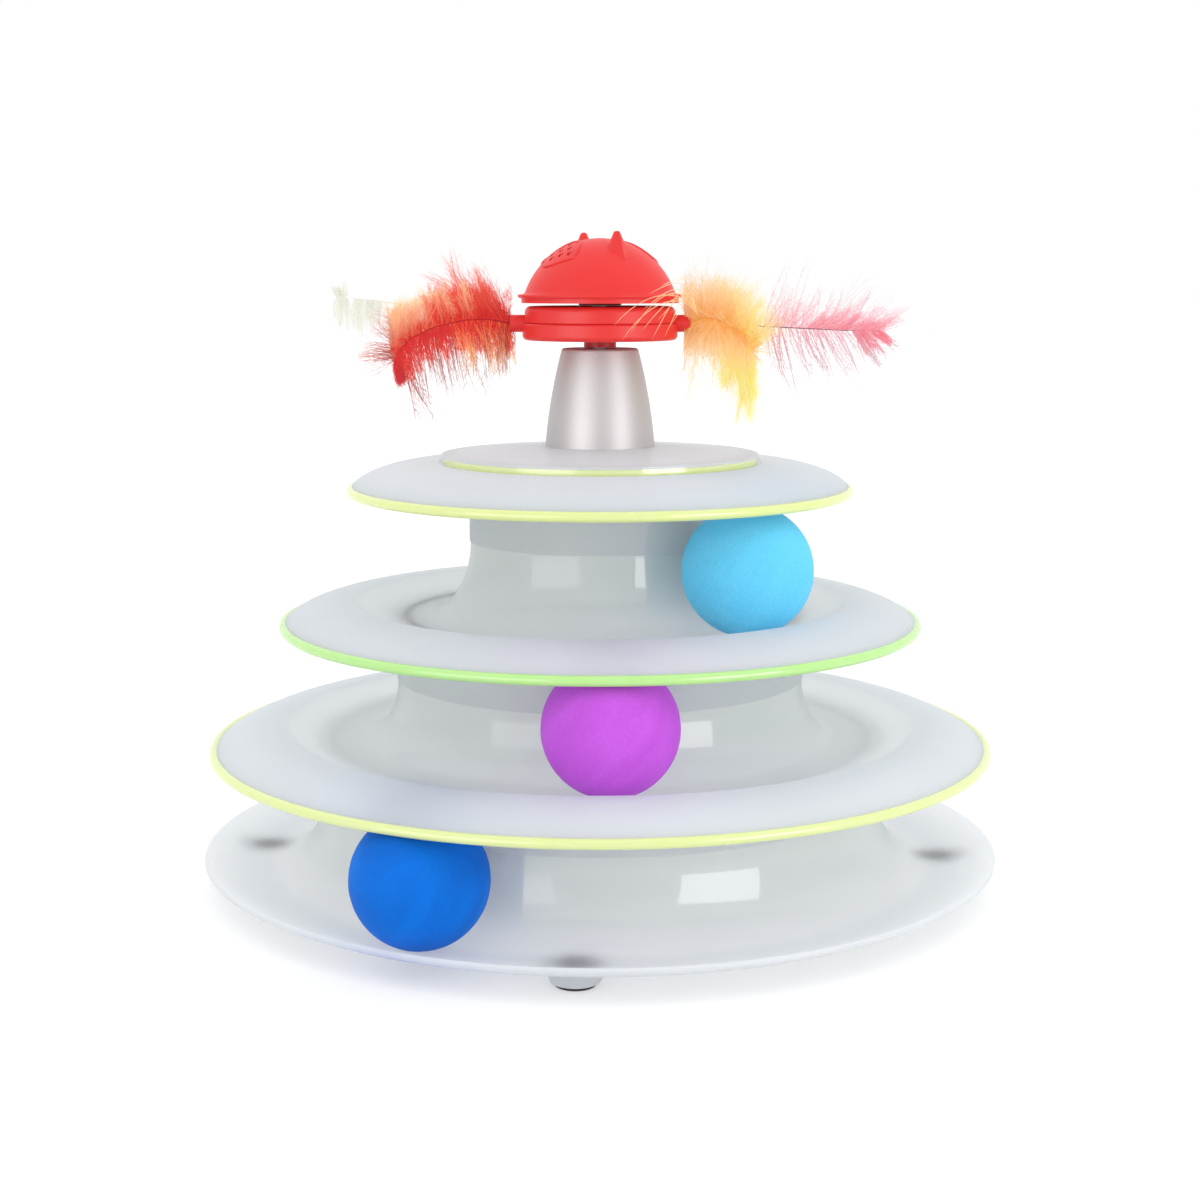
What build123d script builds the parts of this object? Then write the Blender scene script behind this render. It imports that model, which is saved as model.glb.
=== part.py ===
from build123d import *
import os
from math import acos, cos, degrees, pi, radians, sin

# Cat ball track toy: a tray and two decks, each a circular track with its own ball, under a
# domed cover. A silver column on the cover carries a spindle, on which a feather carrier and a
# catnip dome turn. Millimetres, +Z up, origin on the floor under the middle of the tray.
# The front of the toy looks along -Y.

os.makedirs("parts", exist_ok=True)

# Balls
ball_diameter = 39.0
ball_lift = 0.3
tray_ball_angle = -117.0
lower_ball_angle = -88.0
middle_ball_angle = -46.0

# Walls and fits of the mouldings
wall = 1.8
rim_edge = 1.1
lap_clearance = 0.2
lap_gap = 0.3
lap_step = 0.3
fit_clearance = 0.05
running_clearance = 0.06
turn_gap = 0.3
overrun = 1.0

# Base tray
lower_collar_radius = 88.5
floor_clearance = 4.0
tray_side_gap = 0.6
tray_reach = 15.2
tray_rim_rise = 4.2
tray_hub_flare = 14.0

# Feet and their rubber pads
foot_count = 4
foot_turn = -3.5
foot_radius = 7.8
foot_draft = 16.0
pad_radius = 5.8
pad_thickness = 2.0
pad_stand = 1.2
pad_rounding = 0.5

# Lower deck
lower_headroom = 5.3
lower_trough_depth = 4.9
lower_canopy_drop = 7.3
lower_canopy_width = 22.7
lower_canopy_edge_angle = 32.0
lower_crest_reach = 14.8
lower_track_inset = 4.0
lower_side_gap = 0.8
lower_collar_drop = 13.6
lower_hub_flare = 11.0

# Middle deck
middle_headroom = 4.6
middle_trough_depth = 5.2
middle_canopy_drop = 7.4
middle_canopy_width = 22.7
middle_canopy_edge_angle = 14.0
middle_crest_reach = 14.8
middle_track_inset = 2.0
middle_side_gap = 1.7
middle_collar_drop = 17.2
middle_hub_flare = 15.0

# Top cover
top_headroom = 9.0
top_canopy_drop = 8.6
top_canopy_width = 26.6
top_canopy_edge_angle = 6.0
top_collar_drop = 16.0
cover_recess = 0.4
cover_land = 2.0

# Rim beads and crests
bead_radius = 1.5
crest_rounding = 1.2

# Disc, its coloured ring and the silver column
disc_radius = 49.5
disc_edge = 0.6
disc_rise = 2.4
ring_height = 2.2
ring_width = 4.2
ring_inset = 0.3
column_base_radius = 17.1
column_top_radius = 11.8
column_height = 30.2
column_bulge = 0.7
column_cap = 2.6
column_rounding = 0.9
column_seat_margin = 1.9

# Screws from under the cover into the column
pedestal_screw_count = 3
pedestal_screw_circle = 12.4
pedestal_screw_radius = 1.4
pedestal_screw_head_radius = 2.8
pedestal_screw_head = 1.8
pedestal_boss_radius = 3.0
pedestal_boss_height = 9.0
pedestal_screw_bite = 7.0

# Spindle and the washer pushed on its end
spindle_radius = 2.0
spindle_boss_radius = 4.6
spindle_grip = 21.0
spindle_end = 1.0
clip_radius = 4.0
clip_thickness = 0.8

# Feather carrier
neck_radius = 5.0
neck_height = 2.2
carrier_radius = 24.0
carrier_lower_height = 5.1
carrier_upper_height = 5.3
carrier_step = 0.7
carrier_wall = 1.6
carrier_lower_rounding = 1.4
carrier_upper_rounding = 1.9
seam_chamfer = 0.4
carrier_bearing_radius = 4.4
carrier_screw_count = 2
carrier_screw_circle = 13.5
carrier_screw_radius = 1.1
carrier_screw_head_radius = 2.1
carrier_screw_head = 1.2
carrier_post_radius = 2.9
carrier_screw_bite = 2.6

# Feather sockets and feathers
socket_radius = 2.65
socket_bore_radius = 1.6
socket_reach = 3.8
socket_flange_radius = 3.3
socket_flange = 1.2
quill_radius = 0.65
quill_spacing = 0.8
quill_depth = 5.0
vane_thickness = 0.8
lobe_lean = 5.0
lobe_notch_share = 0.62
vane_end_share = 0.45

# Each feather past its socket: rachis length, droop of its tip, vane above and below it, share
# of the rachis that is bare before the vane, and lobes on each edge
red_length = 36.0
red_droop = 15.0
red_rise = 19.0
red_hang = 18.0
red_bare_share = 0.06
red_lobes = 6
cream_length = 54.0
cream_droop = -6.0
cream_rise = 7.0
cream_hang = 6.0
cream_bare_share = 0.5
cream_lobes = 5
orange_length = 24.0
orange_droop = 5.0
orange_rise = 13.0
orange_hang = 23.0
orange_bare_share = 0.08
orange_lobes = 5
pink_length = 60.0
pink_droop = 4.0
pink_rise = 12.0
pink_hang = 11.0
pink_bare_share = 0.4
pink_lobes = 7

# Catnip dome
dome_boss_radius = 6.6
dome_lift = 0.7
dome_skirt_radius = 24.3
dome_skirt_height = 1.4
dome_lip_radius = 25.5
dome_lip = 1.2
dome_radius = 23.4
dome_height = 17.1
dome_wall = 1.6
dome_bearing_height = 5.0
ear_circle = 11.6
ear_turn = -64.0
ear_radius = 3.2
ear_tip_radius = 0.9
ear_height = 8.0
ear_sink = 3.2
ear_rounding = 0.7
lip_sweep = 1.4
vent_circle = 13.2
vent_radius = 0.85
vent_spacing = 3.1
vent_pitch = 3.0
vent_rows = (1, 2, 3, 2, 1)

# Heights of the stack, each track under the headroom of the deck above it
ball_radius = ball_diameter / 2
tray_floor_z = floor_clearance + wall
lower_crest_z = tray_floor_z + ball_diameter + lower_headroom
lower_trough_z = lower_crest_z - lower_trough_depth
lower_collar_bottom_z = lower_crest_z - lower_canopy_drop - lower_collar_drop
middle_crest_z = lower_trough_z + ball_diameter + middle_headroom
middle_trough_z = middle_crest_z - middle_trough_depth
middle_collar_bottom_z = middle_crest_z - middle_canopy_drop - middle_collar_drop
top_crest_z = middle_trough_z + ball_diameter + top_headroom
top_plateau_z = top_crest_z - cover_recess
top_collar_bottom_z = top_crest_z - top_canopy_drop - top_collar_drop

# Radii of the stack, each collar lapping the hub below it
tray_track_radius = lower_collar_radius + tray_side_gap + ball_radius
lower_track_radius = lower_collar_radius - lower_track_inset
lower_crest_radius = lower_track_radius + lower_crest_reach
middle_collar_radius = lower_track_radius - ball_radius - lower_side_gap
middle_track_radius = middle_collar_radius - middle_track_inset
middle_crest_radius = middle_track_radius + middle_crest_reach
top_collar_radius = middle_track_radius - ball_radius - middle_side_gap
top_crest_radius = disc_radius + cover_land
collar_step = wall + lap_clearance

# Heights of the top works
disc_edge_z = top_plateau_z + ring_height + disc_edge
column_base_z = disc_edge_z + disc_rise
column_top_z = column_base_z + column_height
carrier_bottom_z = column_top_z + turn_gap + neck_height
carrier_seam_z = carrier_bottom_z + carrier_lower_height
carrier_top_z = carrier_seam_z + carrier_upper_height
dome_bottom_z = carrier_top_z + turn_gap + dome_lift
dome_floor_top_z = dome_bottom_z + wall
dome_lip_z = dome_bottom_z + dome_skirt_height
dome_spring_z = dome_lip_z + dome_lip
dome_sphere_radius = (dome_radius**2 + dome_height**2) / (2 * dome_height)
dome_centre_z = dome_spring_z + dome_height - dome_sphere_radius
dome_bearing_top_z = dome_floor_top_z + dome_bearing_height
clip_z = dome_bearing_top_z + turn_gap
spindle_top_z = clip_z + clip_thickness + spindle_end
spindle_bottom_z = column_top_z - spindle_grip
bearing_radius = spindle_radius + running_clearance
socket_z = carrier_seam_z


def canopy_band(crest_radius, crest_z, width, drop, edge_angle):
    """Section of a convex canopy, from its crest out to a rim that thins for the bead."""
    across = width / cos(radians(edge_angle))
    upright = drop / (1 - sin(radians(edge_angle)))
    centre = (crest_radius, crest_z - upright)
    sweep_angle = 90 - edge_angle
    with BuildLine() as outline:
        top = EllipticalCenterArc(centre, across, upright, edge_angle, arc_size=sweep_angle)
        under = EllipticalCenterArc(
            centre, across - rim_edge, upright - wall, edge_angle, arc_size=sweep_angle
        )
        Line(top @ 0, under @ 0)
        Line(top @ 1, under @ 1)
    make_face(outline.edges())


def trough_band(floor_radius, floor_z, crest_radius, crest_z):
    """Section of a trough's outer side: an arc that leaves the flat floor and ends at the crest."""
    run = crest_radius - floor_radius
    rise = crest_z - floor_z
    bend = (run**2 + rise**2) / (2 * rise)
    centre = (floor_radius, floor_z + bend)
    turn = degrees(acos((bend - rise) / bend))
    with BuildLine() as outline:
        top = CenterArc(centre, bend, -90, turn)
        under = CenterArc(centre, bend + wall, -90, turn)
        Line(top @ 0, under @ 0)
        Line(top @ 1, under @ 1)
    make_face(outline.edges())


def hub_band(floor_radius, floor_z, collar_radius, collar_bottom_z, flare, top_z):
    """Section of a track floor that sweeps up to a shoulder, with a neck for the collar above."""
    shoulder_radius = collar_radius - lap_step
    shoulder_z = collar_bottom_z - lap_gap
    upright = shoulder_z - floor_z
    neck_outer = collar_radius - collar_step
    neck_inner = neck_outer - wall
    centre = (shoulder_radius + flare, shoulder_z)
    with BuildLine() as outline:
        outside = EllipticalCenterArc(centre, flare, upright, 180, arc_size=90)
        inside = EllipticalCenterArc(centre, flare + wall, upright + wall, 180, arc_size=90)
        Line(outside @ 0, inside @ 0)
        Polyline(
            outside @ 1, (floor_radius, floor_z), (floor_radius, floor_z - wall), inside @ 1
        )
    make_face(outline.edges())
    with BuildLine() as neck:
        Polyline(
            (neck_inner, shoulder_z - wall),
            (shoulder_radius, shoulder_z - wall),
            (shoulder_radius, shoulder_z),
            (neck_outer, shoulder_z),
            (neck_outer, top_z),
            (neck_inner, top_z),
            close=True,
        )
    make_face(neck.edges())


def collar_band(collar_radius, bottom_z, top_z):
    """Section of the collar under a deck that laps the hub of the moulding below."""
    with BuildLine() as outline:
        Polyline(
            (collar_radius - wall, bottom_z),
            (collar_radius, bottom_z),
            (collar_radius, top_z),
            (collar_radius - wall, top_z),
            close=True,
        )
    make_face(outline.edges())


def bead_ring(section, crest_radius, crest_z, width, drop):
    """Section of a soft round bead that grips the rim of a canopy."""
    with Locations((crest_radius + width - rim_edge / 2, crest_z - drop)):
        Circle(bead_radius)
    add(section, mode=Mode.SUBTRACT)


def save(piece, name):
    """Label a finished piece and write it to its own file."""
    piece.part.label = name
    export_step(piece.part, f"parts/{name}.step")


# Base tray: shallow dish with a flared hub, and a boss under the dish for each foot
tray_bend = (tray_reach**2 + tray_rim_rise**2) / (2 * tray_rim_rise)
tray_turn = degrees(acos((tray_bend - tray_rim_rise) / tray_bend))
tray_bend_centre = (tray_track_radius, tray_floor_z + tray_bend)
foot_start = -90 + foot_turn

with BuildPart() as base_tray:
    with BuildSketch(Plane.XZ):
        hub_band(
            tray_track_radius,
            tray_floor_z,
            lower_collar_radius,
            lower_collar_bottom_z,
            tray_hub_flare,
            lower_trough_z - wall,
        )
        with BuildLine():
            dish_top = CenterArc(tray_bend_centre, tray_bend, -90, tray_turn)
            dish_under = CenterArc(tray_bend_centre, tray_bend + wall, -90, tray_turn)
            Line(dish_top @ 0, dish_under @ 0)
            ThreePointArc(
                dish_top @ 1,
                (dish_top @ 1 + dish_under @ 1) / 2 + dish_top % 1 * wall / 2,
                dish_under @ 1,
            )
        make_face()
    revolve(axis=Axis.Z)
    with BuildSketch(Plane.XY.offset(pad_stand)):
        with PolarLocations(tray_track_radius, foot_count, start_angle=foot_start):
            Circle(foot_radius - (floor_clearance - pad_stand) * sin(radians(foot_draft)))
    extrude(amount=floor_clearance + wall / 2 - pad_stand, taper=-foot_draft)
    with BuildSketch(Plane.XY):
        with PolarLocations(tray_track_radius, foot_count, start_angle=foot_start):
            Circle(pad_radius + fit_clearance)
    extrude(amount=pad_thickness, mode=Mode.SUBTRACT)
save(base_tray, "base_tray")

# Rubber pads, one glued into each foot
for number, place in enumerate(("front", "right", "rear", "left")):
    pad_angle = radians(foot_start + number * 360 / foot_count)
    with BuildPart() as foot_pad:
        with BuildSketch(Plane.XY):
            with Locations((tray_track_radius * cos(pad_angle), tray_track_radius * sin(pad_angle))):
                Circle(pad_radius)
        extrude(amount=pad_thickness)
        fillet(foot_pad.faces().sort_by(Axis.Z)[0].edges(), pad_rounding)
    save(foot_pad, f"pad_{place}")

# Lower deck: canopy over the tray's track, its own track, hub and collar, in one moulding
with BuildSketch(Plane.XZ) as lower_section:
    canopy_band(
        lower_crest_radius,
        lower_crest_z,
        lower_canopy_width,
        lower_canopy_drop,
        lower_canopy_edge_angle,
    )
    trough_band(lower_track_radius, lower_trough_z, lower_crest_radius, lower_crest_z)
    hub_band(
        lower_track_radius,
        lower_trough_z,
        middle_collar_radius,
        middle_collar_bottom_z,
        lower_hub_flare,
        middle_trough_z - wall,
    )
    collar_band(lower_collar_radius, lower_collar_bottom_z, lower_trough_z - wall / 2)

with BuildPart() as lower_deck:
    add(lower_section.sketch)
    revolve(axis=Axis.Z)
    lower_crest = lower_deck.edges().filter_by(GeomType.CIRCLE)
    fillet(
        lower_crest.sort_by_distance((lower_crest_radius, 0, lower_crest_z))[0], crest_rounding
    )
save(lower_deck, "lower_deck")

with BuildPart() as lower_rim_bead:
    with BuildSketch(Plane.XZ):
        bead_ring(
            lower_section.sketch_local,
            lower_crest_radius,
            lower_crest_z,
            lower_canopy_width,
            lower_canopy_drop,
        )
    revolve(axis=Axis.Z)
save(lower_rim_bead, "lower_rim_bead")

# Middle deck: the same kind of moulding, one size smaller
with BuildSketch(Plane.XZ) as middle_section:
    canopy_band(
        middle_crest_radius,
        middle_crest_z,
        middle_canopy_width,
        middle_canopy_drop,
        middle_canopy_edge_angle,
    )
    trough_band(middle_track_radius, middle_trough_z, middle_crest_radius, middle_crest_z)
    hub_band(
        middle_track_radius,
        middle_trough_z,
        top_collar_radius,
        top_collar_bottom_z,
        middle_hub_flare,
        top_plateau_z - wall,
    )
    collar_band(middle_collar_radius, middle_collar_bottom_z, middle_trough_z - wall / 2)

with BuildPart() as middle_deck:
    add(middle_section.sketch)
    revolve(axis=Axis.Z)
    middle_crest = middle_deck.edges().filter_by(GeomType.CIRCLE)
    fillet(
        middle_crest.sort_by_distance((middle_crest_radius, 0, middle_crest_z))[0], crest_rounding
    )
save(middle_deck, "middle_deck")

with BuildPart() as middle_rim_bead:
    with BuildSketch(Plane.XZ):
        bead_ring(
            middle_section.sketch_local,
            middle_crest_radius,
            middle_crest_z,
            middle_canopy_width,
            middle_canopy_drop,
        )
    revolve(axis=Axis.Z)
save(middle_rim_bead, "middle_rim_bead")

# Top cover: domed canopy round a shallow recess for the disc, with a collar below
recess_radius = top_crest_radius - cover_land / 2
with BuildSketch(Plane.XZ) as cover_section:
    canopy_band(
        top_crest_radius, top_crest_z, top_canopy_width, top_canopy_drop, top_canopy_edge_angle
    )
    with BuildLine():
        Polyline(
            (top_crest_radius, top_crest_z),
            (recess_radius, top_crest_z),
            (recess_radius, top_plateau_z),
            (0, top_plateau_z),
            (0, top_plateau_z - wall),
            (top_crest_radius, top_plateau_z - wall),
            close=True,
        )
    make_face()
    collar_band(top_collar_radius, top_collar_bottom_z, top_plateau_z - wall / 2)

with BuildPart() as top_cover:
    add(cover_section.sketch)
    revolve(axis=Axis.Z)
    with BuildSketch(Plane.XY.offset(top_plateau_z)):
        with PolarLocations(pedestal_screw_circle, pedestal_screw_count):
            Circle(pedestal_screw_radius + fit_clearance)
    extrude(amount=-(wall + overrun), mode=Mode.SUBTRACT)
save(top_cover, "top_cover")

with BuildPart() as top_rim_bead:
    with BuildSketch(Plane.XZ):
        bead_ring(
            cover_section.sketch_local,
            top_crest_radius,
            top_crest_z,
            top_canopy_width,
            top_canopy_drop,
        )
    revolve(axis=Axis.Z)
save(top_rim_bead, "top_rim_bead")

# Coloured ring that lies in the recess and shows under the edge of the disc
with BuildPart() as disc_ring:
    with BuildSketch(Plane.XY.offset(top_plateau_z)):
        Circle(disc_radius - ring_inset)
        Circle(disc_radius - ring_inset - ring_width, mode=Mode.SUBTRACT)
    extrude(amount=ring_height)
save(disc_ring, "disc_ring")

# Disc: shallow cone with a flat seat for the column and three posts down to the cover
column_seat_radius = column_base_radius + column_seat_margin
ring_inner_radius = disc_radius - ring_inset - ring_width
with BuildPart() as pedestal_disc:
    with BuildSketch(Plane.XZ):
        with BuildLine():
            Polyline(
                (0, column_base_z),
                (column_seat_radius, column_base_z),
                (disc_radius, disc_edge_z),
                (disc_radius, disc_edge_z - disc_edge),
                (ring_inner_radius, disc_edge_z - disc_edge),
                (column_seat_radius, column_base_z - wall),
                (0, column_base_z - wall),
                close=True,
            )
        make_face()
    revolve(axis=Axis.Z)
    with BuildSketch(Plane.XY.offset(top_plateau_z)):
        with PolarLocations(pedestal_screw_circle, pedestal_screw_count):
            Circle(pedestal_boss_radius)
    extrude(amount=column_base_z - wall / 2 - top_plateau_z)
    with BuildSketch(Plane.XY.offset(top_plateau_z)):
        with PolarLocations(pedestal_screw_circle, pedestal_screw_count):
            Circle(pedestal_screw_radius + fit_clearance)
    extrude(amount=column_base_z + overrun - top_plateau_z, mode=Mode.SUBTRACT)
save(pedestal_disc, "pedestal_disc")

# Silver column: hollow, slightly bulged, with a tube for the spindle and bosses for the screws
column_middle_radius = (column_base_radius + column_top_radius) / 2 + column_bulge
column_middle_z = column_base_z + column_height / 2
with BuildPart() as pedestal_cone:
    with BuildSketch(Plane.XZ):
        with BuildLine():
            Line((0, column_base_z), (column_base_radius, column_base_z))
            ThreePointArc(
                (column_base_radius, column_base_z),
                (column_middle_radius, column_middle_z),
                (column_top_radius, column_top_z),
            )
            Line((column_top_radius, column_top_z), (0, column_top_z))
            Line((0, column_top_z), (0, column_base_z))
        make_face()
    revolve(axis=Axis.Z)
    fillet(pedestal_cone.faces().sort_by(Axis.Z)[-1].edges(), column_rounding)
    with BuildSketch(Plane.XZ):
        with BuildLine():
            Line((0, column_base_z), (column_base_radius - wall, column_base_z))
            ThreePointArc(
                (column_base_radius - wall, column_base_z),
                (column_middle_radius - wall, column_middle_z),
                (column_top_radius - wall, column_top_z - column_cap),
            )
            Line((column_top_radius - wall, column_top_z - column_cap), (0, column_top_z - column_cap))
            Line((0, column_top_z - column_cap), (0, column_base_z))
        make_face()
    revolve(axis=Axis.Z, mode=Mode.SUBTRACT)
    with BuildSketch(Plane.XY.offset(column_base_z)):
        with PolarLocations(pedestal_screw_circle, pedestal_screw_count):
            Circle(pedestal_boss_radius)
    extrude(amount=pedestal_boss_height)
    with BuildSketch(Plane.XY.offset(column_base_z)):
        with PolarLocations(pedestal_screw_circle, pedestal_screw_count):
            Circle(pedestal_screw_radius + fit_clearance)
    extrude(amount=pedestal_screw_bite + overrun, mode=Mode.SUBTRACT)
    with BuildSketch(Plane.XY.offset(spindle_bottom_z)):
        Circle(spindle_boss_radius)
    extrude(amount=spindle_grip - column_cap / 2)
    with BuildSketch(Plane.XY.offset(spindle_bottom_z)):
        Circle(spindle_radius + fit_clearance)
    extrude(amount=spindle_grip + overrun, mode=Mode.SUBTRACT)
save(pedestal_cone, "pedestal_cone")

# Pan-head screws up through the cover and the disc into the column
pedestal_screw_seat_z = top_plateau_z - wall
with BuildPart() as pedestal_screws:
    with BuildSketch(Plane.XY.offset(pedestal_screw_seat_z)):
        with PolarLocations(pedestal_screw_circle, pedestal_screw_count):
            Circle(pedestal_screw_head_radius)
    extrude(amount=-pedestal_screw_head)
    with BuildSketch(Plane.XY.offset(pedestal_screw_seat_z)):
        with PolarLocations(pedestal_screw_circle, pedestal_screw_count):
            Circle(pedestal_screw_radius)
    extrude(amount=column_base_z + pedestal_screw_bite - pedestal_screw_seat_z)
save(pedestal_screws, "pedestal_screws")

# Steel spindle and the washer pushed on its upper end
with BuildPart() as spindle:
    with BuildSketch(Plane.XY.offset(spindle_bottom_z)):
        Circle(spindle_radius)
    extrude(amount=spindle_top_z - spindle_bottom_z)
save(spindle, "spindle")

with BuildPart() as spindle_clip:
    with BuildSketch(Plane.XY.offset(clip_z)):
        Circle(clip_radius)
        Circle(spindle_radius + fit_clearance, mode=Mode.SUBTRACT)
    extrude(amount=clip_thickness)
save(spindle_clip, "spindle_clip")

# Balls, each resting on the floor of its own track
ball_places = (
    ("ball_dark_blue", tray_track_radius, tray_floor_z, tray_ball_angle),
    ("ball_purple", lower_track_radius, lower_trough_z, lower_ball_angle),
    ("ball_light_blue", middle_track_radius, middle_trough_z, middle_ball_angle),
)
for ball_name, orbit, floor_z, angle in ball_places:
    with BuildPart() as ball:
        with Locations(
            (
                orbit * cos(radians(angle)),
                orbit * sin(radians(angle)),
                floor_z + ball_lift + ball_radius,
            )
        ):
            Sphere(ball_radius)
    save(ball, ball_name)

# Feather carrier: two shells that close on each other at the seam, clamping the feather sockets
carrier_floor_z = carrier_bottom_z + carrier_wall
carrier_roof_z = carrier_top_z - carrier_wall
carrier_inner_radius = carrier_radius - carrier_step - carrier_wall
socket_flange_end = (carrier_inner_radius**2 - socket_flange_radius**2) ** 0.5 - lap_clearance
socket_end = carrier_radius + socket_reach
carrier_screw_seat_z = carrier_bottom_z + carrier_screw_head

with BuildPart() as carrier_lower_shell:
    with BuildSketch(Plane.XY.offset(carrier_bottom_z)):
        Circle(carrier_radius)
    extrude(amount=carrier_lower_height)
    fillet(carrier_lower_shell.faces().sort_by(Axis.Z)[0].edges(), carrier_lower_rounding)
    chamfer(carrier_lower_shell.faces().sort_by(Axis.Z)[-1].edges(), seam_chamfer)
    with BuildSketch(Plane.XY.offset(carrier_floor_z)):
        Circle(carrier_inner_radius)
        Circle(carrier_bearing_radius, mode=Mode.SUBTRACT)
        with PolarLocations(carrier_screw_circle, carrier_screw_count, start_angle=90):
            Circle(carrier_post_radius, mode=Mode.SUBTRACT)
    extrude(amount=carrier_lower_height, mode=Mode.SUBTRACT)
    with BuildSketch(Plane.XY.offset(carrier_bottom_z - neck_height)):
        Circle(neck_radius)
    extrude(amount=neck_height)
    with BuildSketch(Plane.XY.offset(carrier_bottom_z - neck_height)):
        Circle(bearing_radius)
    extrude(amount=neck_height + carrier_lower_height, mode=Mode.SUBTRACT)
    with BuildSketch(Plane.XY.offset(carrier_bottom_z)):
        with PolarLocations(carrier_screw_circle, carrier_screw_count, start_angle=90):
            Circle(carrier_screw_radius + fit_clearance)
    extrude(amount=carrier_lower_height, mode=Mode.SUBTRACT)
    with BuildSketch(Plane.XY.offset(carrier_bottom_z)):
        with PolarLocations(carrier_screw_circle, carrier_screw_count, start_angle=90):
            Circle(carrier_screw_head_radius + fit_clearance)
    extrude(amount=carrier_screw_head, mode=Mode.SUBTRACT)
    with BuildSketch(Plane.YZ):
        with Locations((0, socket_z)):
            Circle(socket_radius + fit_clearance)
    extrude(amount=carrier_radius + overrun, both=True, mode=Mode.SUBTRACT)
    with BuildSketch(Plane.XY.offset(carrier_floor_z)):
        Circle(carrier_bearing_radius)
        Circle(bearing_radius, mode=Mode.SUBTRACT)
    extrude(amount=carrier_lower_height - carrier_wall)
save(carrier_lower_shell, "carrier_lower_shell")

with BuildPart() as carrier_upper_shell:
    with BuildSketch(Plane.XY.offset(carrier_seam_z)):
        Circle(carrier_radius - carrier_step)
    extrude(amount=carrier_upper_height)
    fillet(carrier_upper_shell.faces().sort_by(Axis.Z)[-1].edges(), carrier_upper_rounding)
    chamfer(carrier_upper_shell.faces().sort_by(Axis.Z)[0].edges(), seam_chamfer)
    with BuildSketch(Plane.XY.offset(carrier_seam_z)):
        Circle(carrier_inner_radius)
        with PolarLocations(carrier_screw_circle, carrier_screw_count, start_angle=90):
            Circle(carrier_post_radius, mode=Mode.SUBTRACT)
    extrude(amount=carrier_upper_height - carrier_wall, mode=Mode.SUBTRACT)
    with BuildSketch(Plane.XY.offset(carrier_seam_z)):
        with PolarLocations(carrier_screw_circle, carrier_screw_count, start_angle=90):
            Circle(carrier_screw_radius + fit_clearance)
    extrude(amount=carrier_screw_bite + overrun, mode=Mode.SUBTRACT)
    with BuildSketch(Plane.XY.offset(carrier_seam_z)):
        Circle(bearing_radius)
    extrude(amount=carrier_upper_height, mode=Mode.SUBTRACT)
    with BuildSketch(Plane.YZ):
        with Locations((0, socket_z)):
            Circle(socket_radius + fit_clearance)
    extrude(amount=carrier_radius + overrun, both=True, mode=Mode.SUBTRACT)
save(carrier_upper_shell, "carrier_upper_shell")

with BuildPart() as carrier_screws:
    with BuildSketch(Plane.XY.offset(carrier_bottom_z)):
        with PolarLocations(carrier_screw_circle, carrier_screw_count, start_angle=90):
            Circle(carrier_screw_head_radius)
    extrude(amount=carrier_screw_head)
    with BuildSketch(Plane.XY.offset(carrier_bottom_z)):
        with PolarLocations(carrier_screw_circle, carrier_screw_count, start_angle=90):
            Circle(carrier_screw_radius)
    extrude(amount=carrier_lower_height + carrier_screw_bite)
save(carrier_screws, "carrier_screws")

# Sockets: short tubes through the seam, held by a flange inside the shells
for side, place in ((-1, "left"), (1, "right")):
    with BuildPart() as feather_socket:
        with BuildSketch(Plane.YZ.offset(side * (socket_flange_end - socket_flange))):
            with Locations((0, socket_z)):
                Circle(socket_flange_radius)
        extrude(amount=side * socket_flange)
        with BuildSketch(Plane.YZ.offset(side * socket_flange_end)):
            with Locations((0, socket_z)):
                Circle(socket_radius)
        extrude(amount=side * (socket_end - socket_flange_end))
        with BuildSketch(Plane.YZ.offset(side * socket_end)):
            with Locations((0, socket_z)):
                Circle(socket_bore_radius)
        extrude(amount=-side * (quill_depth + fit_clearance), mode=Mode.SUBTRACT)
    save(feather_socket, f"feather_socket_{place}")


def vane_points(rachis, start_share, rise, hang, lobes):
    """Outline of a vane: leaning lobes of barbs out along one edge of the rachis and back."""
    edges = []
    for reach in (rise, -hang):
        edge = []
        for lobe in range(lobes):
            root_share = start_share + (1 - start_share) * lobe / lobes
            swell = vane_end_share + (1 - vane_end_share) * sin(pi * (lobe + 1) / (lobes + 1))
            root = rachis @ root_share
            along = rachis % root_share
            across = Vector(-along.Y, along.X) * (1 if along.X > 0 else -1)
            edge.append(root + across * reach * swell * lobe_notch_share)
            edge.append(root + along * lobe_lean + across * reach * swell)
        edges.append(edge)
    tip = rachis @ 1 + rachis % 1 * lobe_lean
    return edges[0] + [tip] + edges[1][::-1]


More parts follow.
